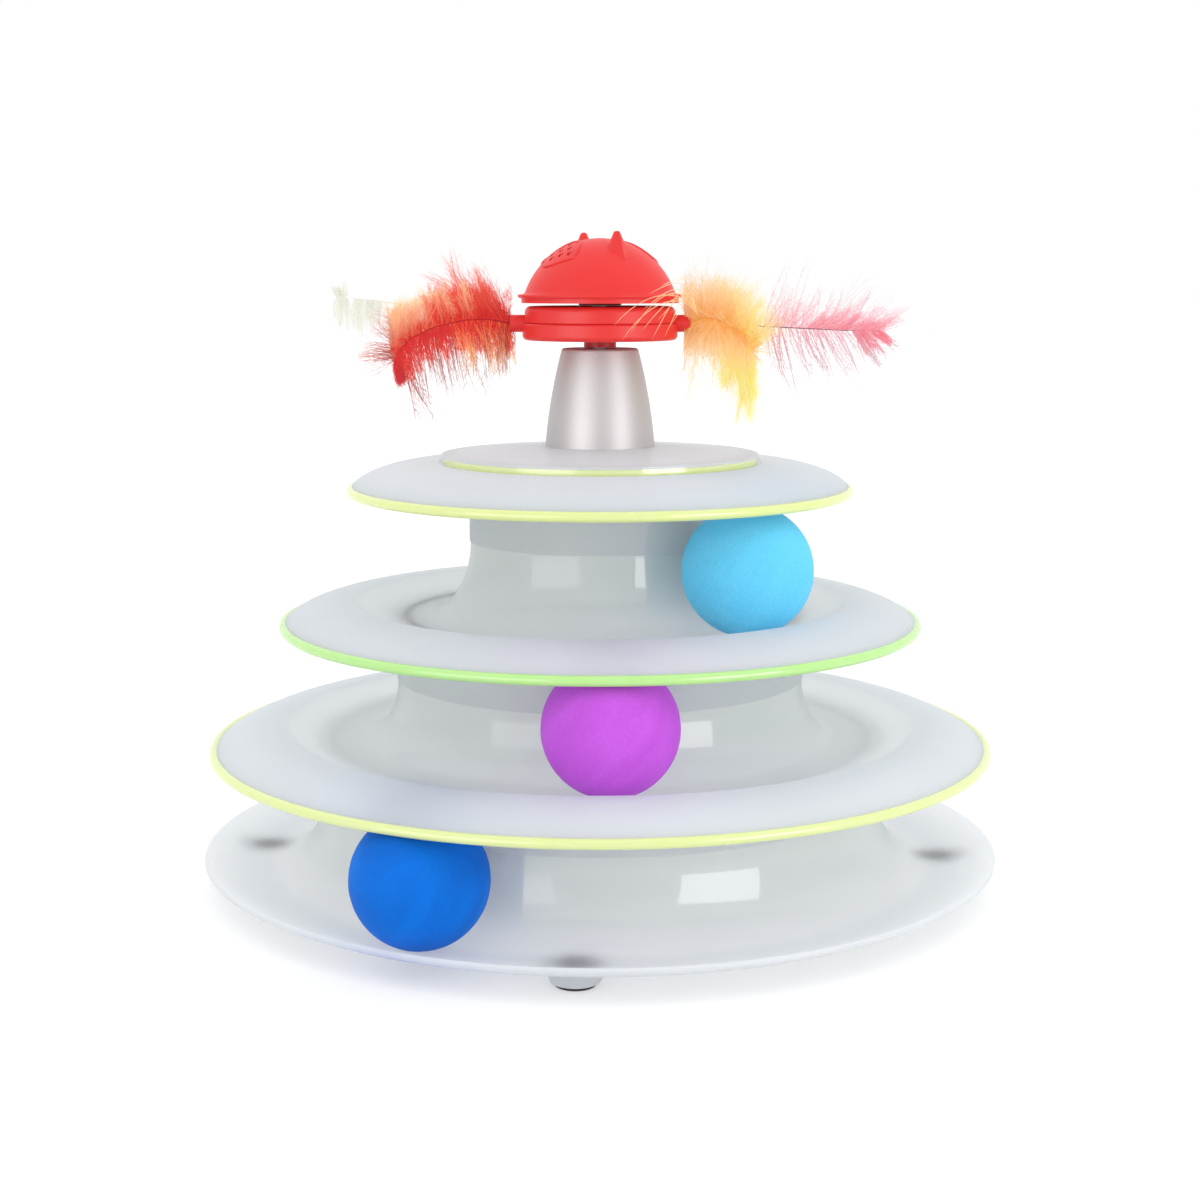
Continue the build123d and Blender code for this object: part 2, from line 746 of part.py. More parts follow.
# Feathers: side, place of the quill in its socket, lobes on each edge of the vane, and the
# rachis and vane sizes of each
feathers = (
    ("feather_red", -1, -quill_spacing, red_lobes, red_bare_share),
    ("feather_cream", -1, quill_spacing, cream_lobes, cream_bare_share),
    ("feather_orange", 1, -quill_spacing, orange_lobes, orange_bare_share),
    ("feather_pink", 1, quill_spacing, pink_lobes, pink_bare_share),
)
feather_sizes = (
    (red_length, red_droop, red_rise, red_hang),
    (cream_length, cream_droop, cream_rise, cream_hang),
    (orange_length, orange_droop, orange_rise, orange_hang),
    (pink_length, pink_droop, pink_rise, pink_hang),
)
for feather_kind, feather_size in zip(feathers, feather_sizes):
    feather_name, side, offset_y, lobes, bare_share = feather_kind
    length, droop, rise, hang = feather_size
    vane_plane = Plane.XZ.offset(-offset_y)
    quill_start = (side * (socket_end - quill_depth), socket_z)
    quill_end = (side * socket_end, socket_z)
    rachis_tip = (side * (socket_end + length), socket_z - droop)
    with BuildLine(Plane.XY) as flat_rachis:
        rachis = TangentArc(quill_end, rachis_tip, tangent=(side, 0))
    outline = vane_points(rachis, bare_share, rise, hang, lobes)
    rachis_middle = ((rachis @ 0.5).X, (rachis @ 0.5).Y)
    with BuildPart() as feather:
        with BuildSketch(vane_plane):
            with BuildLine():
                Polyline(*outline, close=True)
            make_face()
        extrude(amount=vane_thickness / 2, both=True)
        with BuildLine(vane_plane) as shaft:
            Line(quill_start, quill_end)
            ThreePointArc(quill_end, rachis_middle, rachis_tip)
        with BuildSketch(Plane(shaft.line @ 0, z_dir=shaft.line % 0)):
            Circle(quill_radius)
        sweep(path=shaft.line)
    save(feather, feather_name)

# Catnip dome: floor with its bearing, and a perforated shell with lip and ears over it
dome_inner_radius = dome_radius - dome_wall
with BuildPart() as dome_floor:
    with BuildSketch(Plane.XY.offset(dome_bottom_z - dome_lift)):
        Circle(dome_boss_radius)
    extrude(amount=dome_lift)
    with BuildSketch(Plane.XY.offset(dome_bottom_z)):
        Circle(dome_inner_radius - lap_clearance)
    extrude(amount=wall)
    with BuildSketch(Plane.XY.offset(dome_floor_top_z)):
        Circle(carrier_bearing_radius)
    extrude(amount=dome_bearing_height)
    with BuildSketch(Plane.XY.offset(dome_bottom_z - dome_lift)):
        Circle(bearing_radius)
    extrude(amount=dome_lift + wall + dome_bearing_height, mode=Mode.SUBTRACT)
save(dome_floor, "dome_floor")

dome_spring_angle = degrees(acos(dome_radius / dome_sphere_radius))
dome_inner_sphere = dome_sphere_radius - dome_wall
chamber_angle = degrees(acos(dome_inner_radius / dome_inner_sphere))
ear_base_z = dome_centre_z + (dome_sphere_radius**2 - ear_circle**2) ** 0.5 - ear_sink
vent_turn = ear_turn + 90
with BuildPart() as dome_shell:
    with BuildSketch(Plane.XZ):
        with BuildLine():
            crown = CenterArc(
                (0, dome_centre_z), dome_sphere_radius, dome_spring_angle, 90 - dome_spring_angle
            )
            Polyline(
                crown @ 1,
                (0, dome_bottom_z),
                (dome_skirt_radius, dome_bottom_z),
                (dome_skirt_radius, dome_lip_z),
                (dome_lip_radius, dome_lip_z),
                (dome_lip_radius, dome_spring_z),
                crown @ 0,
            )
        make_face()
    revolve(axis=Axis.Z)
    lip_corner = dome_shell.edges().filter_by(GeomType.CIRCLE)
    fillet(lip_corner.sort_by_distance((dome_radius, 0, dome_spring_z))[0], lip_sweep)
    with PolarLocations(ear_circle, 2, start_angle=ear_turn):
        with Locations((0, 0, ear_base_z)):
            Cone(
                ear_radius,
                ear_tip_radius,
                ear_height,
                align=(Align.CENTER, Align.CENTER, Align.MIN),
            )
    ear_tips = dome_shell.edges().filter_by(GeomType.CIRCLE).group_by(Axis.Z)[-1]
    fillet(ear_tips, ear_rounding)
    with BuildSketch(Plane.XZ):
        with BuildLine():
            chamber = CenterArc(
                (0, dome_centre_z), dome_inner_sphere, chamber_angle, 90 - chamber_angle
            )
            Polyline(chamber @ 1, (0, dome_bottom_z), (dome_inner_radius, dome_bottom_z), chamber @ 0)
        make_face()
    revolve(axis=Axis.Z, mode=Mode.SUBTRACT)
    with BuildSketch(Plane.XY.offset(dome_spring_z)):
        with PolarLocations(vent_circle, 2, start_angle=vent_turn):
            for row, count in enumerate(vent_rows):
                with Locations((0, (row - (len(vent_rows) - 1) / 2) * vent_pitch)):
                    with GridLocations(vent_spacing, vent_spacing, count, 1):
                        Circle(vent_radius)
    extrude(amount=dome_height, mode=Mode.SUBTRACT)
save(dome_shell, "dome_shell")
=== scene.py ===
from math import acos, asin, atan2, cos, degrees, pi, radians, sin, sqrt, tan
from random import Random

import bpy
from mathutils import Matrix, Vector


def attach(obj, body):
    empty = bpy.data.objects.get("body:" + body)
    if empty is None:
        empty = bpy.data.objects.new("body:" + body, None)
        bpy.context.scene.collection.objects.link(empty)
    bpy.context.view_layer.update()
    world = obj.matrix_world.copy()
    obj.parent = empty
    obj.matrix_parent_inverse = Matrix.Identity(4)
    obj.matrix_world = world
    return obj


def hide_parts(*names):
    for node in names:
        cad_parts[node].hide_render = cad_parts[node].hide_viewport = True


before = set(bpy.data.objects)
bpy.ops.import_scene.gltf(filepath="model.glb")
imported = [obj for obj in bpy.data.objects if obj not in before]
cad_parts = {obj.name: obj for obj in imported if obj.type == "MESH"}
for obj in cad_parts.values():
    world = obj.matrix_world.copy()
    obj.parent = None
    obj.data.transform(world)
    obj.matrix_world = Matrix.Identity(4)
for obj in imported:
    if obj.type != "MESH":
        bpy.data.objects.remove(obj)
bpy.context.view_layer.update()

# Base tray: a shallow dish whose floor sweeps up into a hollow hub with a neck for the collar
# above. Injection-moulded from milky polypropylene, with four bosses under it for the feet.
# Lengths are in mm here and below, and radii are from the tower's axis.
mm = 0.001
weld = 0.01
crease_angle = 32
wall = 1.8
track_floor_z = 5.8
track_radius = 108.6
shoulder_radius = 88.2
shoulder_z = 29.12
hub_flare = 14.0
neck_radius = 86.5
neck_top_z = 43.4
dish_reach = 15.2
dish_rise = 4.2
rim_softness = 20
foot_angles = (-93.5, -3.5, 86.5, 176.5)
foot_section = (
    (0, 4.9), (8.05, 4.9), (7.83, 4.0), (7.2, 1.75), (6.9, 1.2), (5.85, 1.2), (5.85, 2.0), (0, 2.0),
)
tray_hub = (88, 96)
tray_crest_radius = 104
tray_gloss = 0.4
tray_glow = 0.78
# Hubs are tinted greyer and greener: painted shade under the canopies and painted green light from
# the beads
hub_painted_shade = "#DDE5DF"
polished_tint = "#FBFCFE"
etched_tint = "#E5E9EE"
glow_tint = "#FCFDFE"
hub_glow = 0.56
trough_glow = 0.84
canopy_glow = 0.5
canopy_gloss = 0.1
crest_blend = 1.5


def arc(centre, radii, start, end, steps=16):
    """Points along an ellipse's arc between two angles in degrees."""
    turns = [radians(start + (end - start) * step / steps) for step in range(steps + 1)]
    return [(centre[0] + radii[0] * cos(turn), centre[1] + radii[1] * sin(turn)) for turn in turns]


def turned(name, section, steps=180):
    """A piece spun about the tower's axis from its section, points of radius and height."""
    bpy.ops.object.select_all(action="DESELECT")
    bpy.ops.mesh.primitive_plane_add(size=mm)
    piece = bpy.context.object
    piece.name = name
    closed = section[0][0] > 0 or section[-1][0] > 0
    points = [Vector((radius * mm, 0, height * mm)) for radius, height in section]
    bpy.ops.object.mode_set(mode="EDIT")
    bpy.ops.mesh.merge(type="CENTER")
    bpy.ops.transform.translate(value=points[0])
    for before, point in zip(points, points[1:] + points[:1] if closed else points[1:]):
        bpy.ops.mesh.extrude_vertices_move(TRANSFORM_OT_translate={"value": point - before})
    bpy.ops.mesh.select_all(action="SELECT")
    bpy.ops.mesh.remove_doubles(threshold=weld * mm)
    bpy.ops.mesh.spin(steps=steps, angle=2 * pi, center=(0, 0, 0), axis=(0, 0, 1))
    bpy.ops.mesh.select_all(action="SELECT")
    bpy.ops.mesh.remove_doubles(threshold=weld * mm)
    bpy.ops.mesh.normals_make_consistent(inside=False)
    bpy.ops.object.mode_set(mode="OBJECT")
    bpy.ops.object.shade_smooth_by_angle(angle=radians(crease_angle))
    return piece


def placed(piece, angle, orbit):
    """A copy of a piece, with its own mesh, moved out from the axis by an orbit."""
    bpy.ops.object.select_all(action="DESELECT")
    piece.select_set(True)
    bpy.context.view_layer.objects.active = piece
    bpy.ops.object.duplicate()
    copy = bpy.context.object
    copy.location = (orbit * mm * cos(radians(angle)), orbit * mm * sin(radians(angle)), 0)
    bpy.ops.object.transform_apply(location=True, rotation=True, scale=True)
    return copy


def fused(piece, others, operation="UNION"):
    """One closed mesh of a piece and the others that stand on it, or are cut out of it."""
    for other in others:
        step = piece.modifiers.new("fused", "BOOLEAN")
        step.operation = operation
        step.solver = "EXACT"
        step.object = other
        bpy.ops.object.select_all(action="DESELECT")
        piece.select_set(True)
        bpy.context.view_layer.objects.active = piece
        bpy.ops.object.modifier_apply(modifier=step.name)
        bpy.data.objects.remove(other)
    bpy.ops.object.shade_smooth_by_angle(angle=radians(crease_angle))


def colour(code):
    """Linear colour of an sRGB hex value."""
    parts = [int(code[place:place + 2], 16) / 255 for place in (1, 3, 5)]
    return (*[part / 12.92 if part <= 0.04045 else ((part + 0.055) / 1.055) ** 2.4
              for part in parts], 1)


def node(tree, kind, inputs=None, **settings):
    """Adds a shader node with its settings, and fills or links its inputs."""
    made = tree.nodes.new("ShaderNode" + kind)
    for setting, value in settings.items():
        setattr(made, setting, value)
    for socket, value in (inputs or {}).items():
        if isinstance(value, bpy.types.NodeSocket):
            tree.links.new(value, made.inputs[socket])
        else:
            made.inputs[socket].default_value = value
    return made


def dressed(piece, name):
    """Gives a piece a new empty material and returns its node tree."""
    finish = bpy.data.materials.new(name)
    finish.use_nodes = True
    finish.node_tree.nodes.clear()
    piece.data.materials.clear()
    piece.data.materials.append(finish)
    return finish.node_tree


def milky_polypropylene(piece, name, hub, crest_radius, gloss_outside=canopy_gloss,
                        glow_outside=canopy_glow):
    """Milky polypropylene: light spreads through the thin wall, most of all in the thin trough
    between hub and crest, so shades are soft and colours behind it glow. The mould was polished
    inside the crest, which gives sharp highlights and bright edges, and is duller outside it."""
    tree = dressed(piece, name)
    place = node(tree, "TexCoord").outputs["Object"]
    flat = node(tree, "VectorMath", {0: place, 1: (1, 1, 0)}, operation="MULTIPLY").outputs[0]
    reach = node(tree, "VectorMath", {0: flat}, operation="LENGTH").outputs["Value"]
    outside = node(tree, "MapRange", {
        "Value": reach, "From Min": (crest_radius - crest_blend) * mm,
        "From Max": (crest_radius + crest_blend) * mm,
    }, interpolation_type="SMOOTHSTEP").outputs[0]
    off_hub = node(tree, "MapRange", {
        "Value": reach, "From Min": hub[0] * mm, "From Max": hub[1] * mm,
    }, interpolation_type="SMOOTHSTEP").outputs[0]
    glow_inside = node(tree, "Mix", {0: off_hub, 2: hub_glow, 3: trough_glow}).outputs[0]
    share = node(tree, "Mix", {0: outside, 2: glow_inside, 3: glow_outside}).outputs[0]
    cloud = node(tree, "TexNoise", {
        "Vector": place, "Scale": 1 / (45 * mm), "Detail": 2,
    }).outputs["Fac"]
    # The mould's etch is finer than this, and is drawn coarser so that it shows
    etch = node(tree, "TexNoise", {
        "Vector": place, "Scale": 1 / (0.9 * mm), "Detail": 2,
    }).outputs["Fac"]
    # The hub gets a greyer, greener tint, painted shade under the canopies and painted green light
    # from the beads
    tint_inside = node(tree, "Mix", {
        0: off_hub, 6: colour(hub_painted_shade), 7: colour(polished_tint),
    }, data_type="RGBA").outputs[2]
    tint = node(tree, "Mix", {
        0: outside, 6: tint_inside, 7: colour(etched_tint),
    }, data_type="RGBA").outputs[2]
    shade = node(tree, "MapRange", {
        "Value": cloud, "From Min": 0.3, "From Max": 0.7, "To Min": 0.955, "To Max": 1.0,
    }).outputs[0]
    body = node(tree, "VectorMath", {0: tint, 1: shade}, operation="MULTIPLY").outputs[0]
    gloss = node(tree, "MapRange", {
        "Value": outside, "To Min": 1.0, "To Max": gloss_outside,
    }).outputs[0]
    rough = node(tree, "MapRange", {"Value": outside, "To Min": 0.34, "To Max": 0.5}).outputs[0]
    relief = node(tree, "Math", {0: etch, 1: outside}, operation="MULTIPLY").outputs[0]
    bump = node(tree, "Bump", {"Height": relief, "Strength": 0.12, "Distance": 0.05 * mm})
    plastic = node(tree, "BsdfPrincipled", {
        "Base Color": body, "Roughness": rough, "IOR": 1.49, "Specular IOR Level": 0.3,
        "Coat Weight": gloss, "Coat Roughness": 0.05, "Coat IOR": 2.8, "Normal": bump.outputs[0],
    })
    through = node(tree, "BsdfTranslucent", {"Color": colour(glow_tint)})
    milky = node(tree, "MixShader", {0: share, 1: plastic.outputs[0], 2: through.outputs[0]})
    node(tree, "OutputMaterial", {"Surface": milky.outputs[0]})


sweep_foot = (shoulder_radius + hub_flare, shoulder_z)
hub_height = shoulder_z - track_floor_z
inner_start = 180 + degrees(asin(wall / (hub_height + wall)))
dish_bend = (dish_reach**2 + dish_rise**2) / (2 * dish_rise)
dish_turn = degrees(acos((dish_bend - dish_rise) / dish_bend))
dish_centre = (track_radius, track_floor_z + dish_bend)
rim_middle = arc(dish_centre, (dish_bend + wall / 2,) * 2, -90 + dish_turn, -90, 1)[0]
rim_turns = (90 + dish_turn - rim_softness, -90 + dish_turn + rim_softness)
tray_section = [
    (neck_radius - wall, neck_top_z),
    (neck_radius, neck_top_z),
    (neck_radius, shoulder_z),
    *arc(sweep_foot, (hub_flare, hub_height), 180, 270, 24),
    *arc(dish_centre, (dish_bend,) * 2, -90, -90 + dish_turn, 14),
    *arc(rim_middle, (wall / 2,) * 2, *rim_turns, 8),
    *arc(dish_centre, (dish_bend + wall,) * 2, -90 + dish_turn, -90, 14),
    *arc(sweep_foot, (hub_flare + wall, hub_height + wall), 270, inner_start, 20),
    (neck_radius - wall, shoulder_z - wall),
]
base_tray = turned("base_tray_moulding", tray_section)
foot = turned("foot_boss", foot_section, 40)
fused(base_tray, [placed(foot, angle, track_radius) for angle in foot_angles])
bpy.data.objects.remove(foot)
milky_polypropylene(base_tray, "milky polypropylene tray", tray_hub, tray_crest_radius, tray_gloss,
                    tray_glow)
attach(base_tray, "tower")
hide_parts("base_tray")

# Foot pads: black rubber discs, cut from sheet and glued into the pockets under the bosses, where
# they keep the tower from sliding. The cut rubber is dull and a little grainy.
for side in ("front", "right", "rear", "left"):
    tree = dressed(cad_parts["pad_" + side], "black rubber")
    place = node(tree, "TexCoord").outputs["Object"]
    grain = node(tree, "TexNoise", {
        "Vector": place, "Scale": 1 / (0.6 * mm), "Detail": 3,
    }).outputs["Fac"]
    black = node(tree, "Mix", {
        0: grain, 6: colour("#131313"), 7: colour("#232323"),
    }, data_type="RGBA").outputs[2]
    worn = node(tree, "MapRange", {"Value": grain, "To Min": 0.55, "To Max": 0.8}).outputs[0]
    rubber = node(tree, "BsdfPrincipled", {"Base Color": black, "Roughness": worn})
    node(tree, "OutputMaterial", {"Surface": rubber.outputs[0]})

# Lower and middle decks: each is one milky moulding with a canopy over the track below, a trough
# for its own ball, a hub and a collar that laps the hub below. Sections follow the mould from the
# rim over the crest, through the trough, up the hub and back underneath.
rim_edge = 1.1
crest_end = 88.6
trough_start = 91.2
trough_under = 0.85
underside_end = 88
hub_fade = 0.4


def canopy(crest, width, drop, edge_angle, thickness, start, end):
    """Points along a canopy's top, or along its underside when given a thickness."""
    across = width / cos(radians(edge_angle)) - (rim_edge if thickness else 0)
    upright = drop / (1 - sin(radians(edge_angle)))
    centre = (crest[0], crest[1] - upright)
    return arc(centre, (across, upright - thickness), start, end, 24)


def moulded_deck(deck_name, crest, width, drop, edge_angle, track, floor_z, collar, collar_z,
                 shoulder, lap_z, flare, neck, top_z):
    """A deck from the crest, width, drop and edge angle of its canopy, the middle of its trough,
    the collar below it, and the shoulder, lap, flare and neck of its hub."""
    run, rise = crest[0] - track, crest[1] - floor_z
    bend = (run**2 + rise**2) / (2 * rise)
    turn = degrees(acos((bend - rise) / bend))
    bottom = (track, floor_z + bend)
    collar_turns = [degrees(asin((radius - track) / (bend + wall))) - 90
                    for radius in (collar - wall, collar)]
    hub_foot = (shoulder + flare, lap_z)
    height = lap_z - floor_z
    hub_inside = 180 + degrees(asin(wall / (height + wall)))
    deck = turned(deck_name + "_moulding", [
        *canopy(crest, width, drop, edge_angle, 0, edge_angle, crest_end),
        *arc(bottom, (bend, bend), turn - trough_start, -90, 20),
        *arc(hub_foot, (flare, height), 270, 180, 24),
        (neck, lap_z),
        (neck, top_z),
        (neck - wall, top_z),
        (neck - wall, lap_z - wall),
        *arc(hub_foot, (flare + wall, height + wall), hub_inside, 270, 20),
        *arc(bottom, (bend + wall,) * 2, -90, collar_turns[0], 2),
        (collar - wall, collar_z),
        (collar, collar_z),
        *arc(bottom, (bend + wall,) * 2, collar_turns[1], turn * trough_under - 90, 14),
        *canopy(crest, width, drop, edge_angle, wall, underside_end, edge_angle),
    ])
    milky_polypropylene(deck, "milky polypropylene " + deck_name.replace("_", " "),
                        (shoulder - 1, shoulder + hub_fade * flare), crest[0])
    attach(deck, "tower")
    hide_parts(deck_name)


moulded_deck("lower_deck", crest=(99.3, 50.1), width=22.7, drop=7.3, edge_angle=32, track=84.5,
             floor_z=45.2, collar=88.5, collar_z=29.2, shoulder=63.9, lap_z=64.12, flare=11.0,
             neck=62.2, top_z=81.8)
moulded_deck("middle_deck", crest=(77.0, 88.8), width=22.7, drop=7.4, edge_angle=14, track=62.2,
             floor_z=83.6, collar=64.2, collar_z=64.2, shoulder=40.7, lap_z=106.92, flare=15.0,
             neck=39.0, top_z=129.4)

# Top cover: the same milky plastic, a domed canopy round a flat recess that takes the disc, with
# its own collar below.
cover_crest = (51.5, 131.6)
cover_width = 26.6
cover_drop = 8.6
cover_edge_angle = 6
cover_underside_end = 84
recess_radius = 50.5
recess_z = 131.2
cover_collar = 41.0
cover_collar_z = 107.0
no_hub = (0, 1)
cover_section = [
    (0, recess_z),
    (recess_radius, recess_z),
    (recess_radius, cover_crest[1]),
    *canopy(cover_crest, cover_width, cover_drop, cover_edge_angle, 0, 90, cover_edge_angle),
    *canopy(cover_crest, cover_width, cover_drop, cover_edge_angle, wall, cover_edge_angle,
            cover_underside_end),
    (cover_collar, recess_z - wall),
    (cover_collar, cover_collar_z),
    (cover_collar - wall, cover_collar_z),
    (cover_collar - wall, recess_z - wall),
    (0, recess_z - wall),
]
cover = turned("top_cover_moulding", cover_section)
milky_polypropylene(cover, "milky polypropylene cover", no_hub, recess_radius)
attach(cover, "tower")
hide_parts("top_cover")

# Rim beads and the ring under the disc: soft coloured edging of thermoplastic rubber, pushed on
# each canopy's edge. Slightly see-through, so its colour glows. Each has its colour and gloss.
beads = (
    ("lower_rim_bead", "#D8E78E", 0.4),
    ("middle_rim_bead", "#AAE474", 0.4),
    ("top_rim_bead", "#D8E786", 0.4),
    ("disc_ring", "#DAEC70", 1.0),
)
for bead_name, bead_colour, gloss in beads:
    tree = dressed(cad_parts[bead_name], bead_name.replace("_", " ") + " rubber")
    place = node(tree, "TexCoord").outputs["Object"]
    patch = node(tree, "TexNoise", {
        "Vector": place, "Scale": 1 / (9 * mm), "Detail": 3,
    }).outputs["Fac"]
    full = colour(bead_colour)
    paler = node(tree, "HueSaturation", {"Saturation": 0.82, "Color": full}).outputs[0]
    tone = node(tree, "Mix", {0: patch, 6: full, 7: paler}, data_type="RGBA").outputs[2]
    sheen = node(tree, "MapRange", {"Value": patch, "To Min": 0.16, "To Max": 0.26}).outputs[0]
    rubber = node(tree, "BsdfPrincipled", {
        "Base Color": tone, "Roughness": sheen, "IOR": 1.48, "Subsurface Weight": 0.4,
        "Subsurface Radius": (1, 1, 0.5), "Subsurface Scale": 2 * mm,
        "Coat Weight": gloss, "Coat Roughness": 0.08, "Coat IOR": 2.8,
    })
    node(tree, "OutputMaterial", {"Surface": rubber.outputs[0]})

# Disc: a shallow milky cone that carries the column, screwed down on the cover through its posts.
# It lies close over the cover, so less light comes through it, and it is smooth enough for soft
# reflections.
disc_gloss = 0.25
disc_glow = 0.3
milky_polypropylene(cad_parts["pedestal_disc"], "polished polypropylene disc", no_hub, 0,
                    disc_gloss, disc_glow)

# Column: a hollow tapered ABS moulding that carries the steel spindle. Its paint holds fine silver
# flake, which gives a satin sheen in soft bands down the sides.
tree = dressed(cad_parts["pedestal_cone"], "silver flake paint")
place = node(tree, "TexCoord").outputs["Object"]
# Real flake is far finer, and is drawn coarser so that it shows
flake = node(tree, "TexVoronoi", {"Vector": place, "Scale": 1 / (0.35 * mm)}).outputs["Color"]
# The paint's grey is tinted warm, a painted reflection of warm surroundings; the flake adds faint
# random speckle
flake_and_painted_reflection = node(tree, "Mix", {0: 0.04, 6: colour("#B8B4B4"), 7: flake}, data_type="RGBA").outputs[2]
cloud = node(tree, "TexNoise", {
    "Vector": place, "Scale": 1 / (12 * mm), "Detail": 2,
}).outputs["Fac"]
satin = node(tree, "MapRange", {"Value": cloud, "To Min": 0.44, "To Max": 0.5}).outputs[0]
paint = node(tree, "BsdfPrincipled", {"Base Color": flake_and_painted_reflection, "Roughness": satin, "Metallic": 0.42})
node(tree, "OutputMaterial", {"Surface": paint.outputs[0]})

# Screws, spindle and its washer: bright drawn steel, mostly hidden inside. Screws hold the column
# and the carrier's shells, and the head turns on the spindle. Uneven drawing blurs the reflections.
for steel_name in ("pedestal_screws", "spindle", "spindle_clip", "carrier_screws"):
    tree = dressed(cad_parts[steel_name], "drawn steel")
    place = node(tree, "TexCoord").outputs["Object"]
    drawn = node(tree, "TexNoise", {
        "Vector": place, "Scale": 1 / (0.8 * mm), "Detail": 2,
    }).outputs["Fac"]
    worn = node(tree, "MapRange", {"Value": drawn, "To Min": 0.22, "To Max": 0.38}).outputs[0]
    steel = node(tree, "BsdfPrincipled", {
        "Base Color": colour("#C8C9CB"), "Roughness": worn, "Metallic": 1,
    })
    node(tree, "OutputMaterial", {"Surface": steel.outputs[0]})

# Balls: solid EVA foam, ground round from a block, so the skin is matt and mottled and the
# sphere a little uneven. One rests in each track. Each has its node, body and slot, its place in
# the track, its two tones, and the size and twist of its mottling.
ball_radius = 19.5
ball_gap = 0.3
skin_allowance = 0.08
skin_depth = 0.12
skin_size = 6
balls = (
    ("ball_dark_blue", "ball_lower", "dark_blue_ball",
     108.6, 5.8, -117, "#0070DC", "#0066CE", 26, 2.1),
    ("ball_purple", "ball_middle", "purple_ball",
     84.5, 45.2, -88, "#C85DE2", "#C156DA", 14, 0.9),
    ("ball_light_blue", "ball_upper", "light_blue_ball",
     62.2, 83.6, -46, "#6CD2FA", "#62CCF6", 18, 1.2),
)
for ball_node, ball_body, ball_slot, orbit, floor_z, angle, base, deep, swirl_size, twist in balls:
    bpy.ops.object.select_all(action="DESELECT")
    bpy.ops.mesh.primitive_ico_sphere_add(
        subdivisions=6, radius=(ball_radius - skin_allowance) * mm)
    ball = bpy.context.object
    ball.name = ball_node + "_foam"
    unevenness = bpy.data.textures.new(ball_node + "_skin", "CLOUDS")
    unevenness.noise_scale = skin_size * mm
    skin = ball.modifiers.new("skin", "DISPLACE")
    skin.texture = unevenness
    skin.strength = skin_depth * mm
    bpy.ops.object.modifier_apply(modifier=skin.name)
    ball.location = Vector((orbit * cos(radians(angle)), orbit * sin(radians(angle)),
                            floor_z + ball_gap + ball_radius)) * mm
    bpy.ops.object.transform_apply(location=True, rotation=True, scale=True)
    bpy.ops.object.shade_smooth()
    tree = dressed(ball, "foam " + ball_slot.replace("_", " "))
    place = node(tree, "TexCoord").outputs["Object"]
    tilted = node(tree, "Mapping", {
        "Vector": place, "Rotation": (0.6, 0.5, 0.3), "Scale": (1, 1, 3),
    }, vector_type="TEXTURE").outputs[0]
    swirl = node(tree, "TexNoise", {
        "Vector": tilted, "Scale": 1 / (swirl_size * mm), "Detail": 5, "Distortion": twist,
    }).outputs["Fac"]
    mottle = node(tree, "MapRange", {
        "Value": swirl, "From Min": 0.35, "From Max": 0.65,
    }).outputs[0]
    tone = node(tree, "Mix", {
        0: mottle, 6: colour(base), 7: colour(deep),
    }, data_type="RGBA").outputs[2]
    # The foam's cells are finer than this, and are drawn coarser so that they show
    cells = node(tree, "TexNoise", {
        "Vector": place, "Scale": 1 / (0.7 * mm), "Detail": 3,
    }).outputs["Fac"]
    speck = node(tree, "MapRange", {
        "Value": cells, "From Min": 0.3, "From Max": 0.7, "To Min": 0.93, "To Max": 1.04,
    }).outputs[0]
    body = node(tree, "VectorMath", {0: tone, 1: speck}, operation="MULTIPLY").outputs[0]
    bump = node(tree, "Bump", {"Height": cells, "Strength": 0.25, "Distance": 0.15 * mm})
    foam = node(tree, "BsdfPrincipled", {
        "Base Color": body, "Roughness": 0.75, "Specular IOR Level": 0.1, "Sheen Weight": 0.03,
        "Normal": bump.outputs[0],
    })
    node(tree, "OutputMaterial", {"Surface": foam.outputs[0]})
    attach(ball, ball_body)
    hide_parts(ball_node)


# Carrier, sockets and the dome's floor: red ABS, moulded with a fine satin etch. The carrier's two
# shells are screwed together on the sockets; the dome turns on the spindle above them.
def red_abs(piece, name):
    """Red ABS: an opaque satin moulding, a touch deeper in clouds, with a fine etched grain that
    spreads its highlights."""
    tree = dressed(piece, name)
    place = node(tree, "TexCoord").outputs["Object"]
    # The mould's etch is finer than this, and is drawn coarser so that it shows
    etch = node(tree, "TexNoise", {
        "Vector": place, "Scale": 1 / (0.6 * mm), "Detail": 3,
    }).outputs["Fac"]
    cloud = node(tree, "TexNoise", {
        "Vector": place, "Scale": 1 / (14 * mm), "Detail": 2,
    }).outputs["Fac"]
    tone = node(tree, "Mix", {
        0: cloud, 6: colour("#E83432"), 7: colour("#E02F2D"),
    }, data_type="RGBA").outputs[2]
    satin = node(tree, "MapRange", {"Value": etch, "To Min": 0.36, "To Max": 0.46}).outputs[0]
    bump = node(tree, "Bump", {"Height": etch, "Strength": 0.15, "Distance": 0.06 * mm})
    plastic = node(tree, "BsdfPrincipled", {
        "Base Color": tone, "Roughness": satin, "IOR": 1.53, "Specular IOR Level": 0.25,
        "Normal": bump.outputs[0],
    })
    node(tree, "OutputMaterial", {"Surface": plastic.outputs[0]})


for red_name in ("carrier_lower_shell", "carrier_upper_shell", "feather_socket_left",
                 "feather_socket_right", "dome_floor"):
    red_abs(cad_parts[red_name], "red ABS " + red_name.replace("_", " "))

